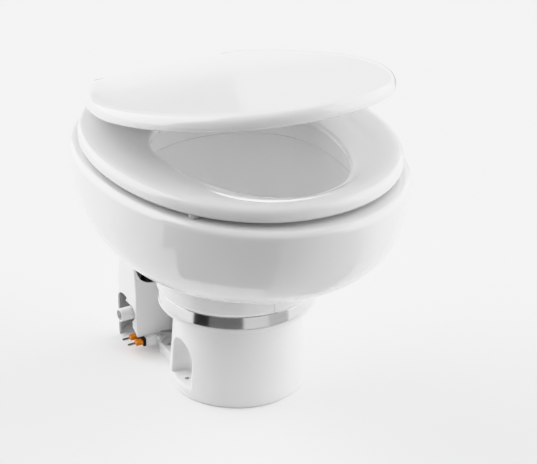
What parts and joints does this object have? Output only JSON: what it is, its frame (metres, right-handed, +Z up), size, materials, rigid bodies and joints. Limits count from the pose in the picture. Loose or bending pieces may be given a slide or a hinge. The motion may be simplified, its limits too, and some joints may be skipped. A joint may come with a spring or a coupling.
{
  "type": "electric marine toilet",
  "caption": "Compact electric marine toilet: ceramic bowl with hinged seat and lid, band-clamped to a pedestal with a covered macerator pump and a water valve behind it.",
  "frame": {"origin": "on the floor, on the axis of the pedestal and of the clamp band", "axes": "+Z up, -Y towards the user's front of the toilet, +X the sitting user's left"},
  "size_m": [0.382, 0.527, 0.4573],
  "materials": {
    "white_plastic": "smooth injection-moulded white plastic with a soft sheen",
    "grey_plastic": "plain grey moulded plastic",
    "black_plastic": "black moulded plastic",
    "orange_plastic": "orange moulded terminal plastic",
    "glazed_ceramic": "white vitreous china under a clear glaze",
    "seat_white": "polished white seat plastic",
    "rubber": "black rubber",
    "stainless": "bright stainless steel"
  },
  "bodies": {
    "toilet": {"base_pedestal": "white_plastic", "bowl": "glazed_ceramic", "bowl_gasket": "rubber", "clamp_band": "stainless", "clamp_bolt": "stainless", "clamp_nut": "stainless", "coil_yoke": "black_plastic", "cover_screw_left": "stainless", "cover_screw_right": "stainless", "cutter_plate": "stainless", "hinge_nut_left": "stainless", "hinge_nut_right": "stainless", "hinge_pin_left": "stainless", "hinge_pin_right": "stainless", "hinge_post_left": "stainless", "hinge_post_right": "stainless", "hinge_sleeve_left": "rubber", "hinge_sleeve_right": "rubber", "hinge_stud_left": "stainless", "hinge_stud_right": "stainless", "inlet_sleeve": "rubber", "motor_body": "black_plastic", "motor_end_cap": "black_plastic", "pump_cover": "white_plastic", "pump_housing": "white_plastic", "pump_screw_1": "stainless", "pump_screw_2": "stainless", "pump_screw_3": "stainless", "rinse_inlet": "white_plastic", "seal_plate": "black_plastic", "shaft_seal": "rubber", "spade_terminal_1": "stainless", "spade_terminal_2": "stainless", "sump": "grey_plastic", "terminal_block_1": "orange_plastic", "terminal_block_2": "orange_plastic", "valve_body": "white_plastic"},
    "seat": {"seat_ring": "seat_white", "seat_leaf_left": "stainless", "seat_leaf_right": "stainless", "seat_bumper_front_left": "rubber", "seat_bumper_front_right": "rubber", "seat_bumper_rear_left": "rubber", "seat_bumper_rear_right": "rubber"},
    "lid": {"lid_panel": "seat_white", "lid_leaf_left": "stainless", "lid_leaf_right": "stainless", "lid_bumper_left": "rubber", "lid_bumper_right": "rubber"},
    "rotor": {"motor_shaft": "stainless", "macerator_blade": "stainless", "impeller": "black_plastic"}
  },
  "joints": [
    {"name": "seat_hinge", "type": "hinge", "parent": "toilet", "child": "seat", "pos_m": [0, 0.2, 0.3485], "axis": [-1, 0, 0], "range_deg": [0, 96]},
    {"name": "lid_hinge", "type": "hinge", "parent": "seat", "child": "lid", "pos_m": [0, 0.2, 0.3485], "axis": [-1, 0, 0], "range_deg": [-12.6, 80]},
    {"name": "macerator_spin", "type": "hinge", "parent": "toilet", "child": "rotor", "pos_m": [-0.028, 0.15, 0.05], "axis": [0, 0, 1], "continuous": true}
  ]
}
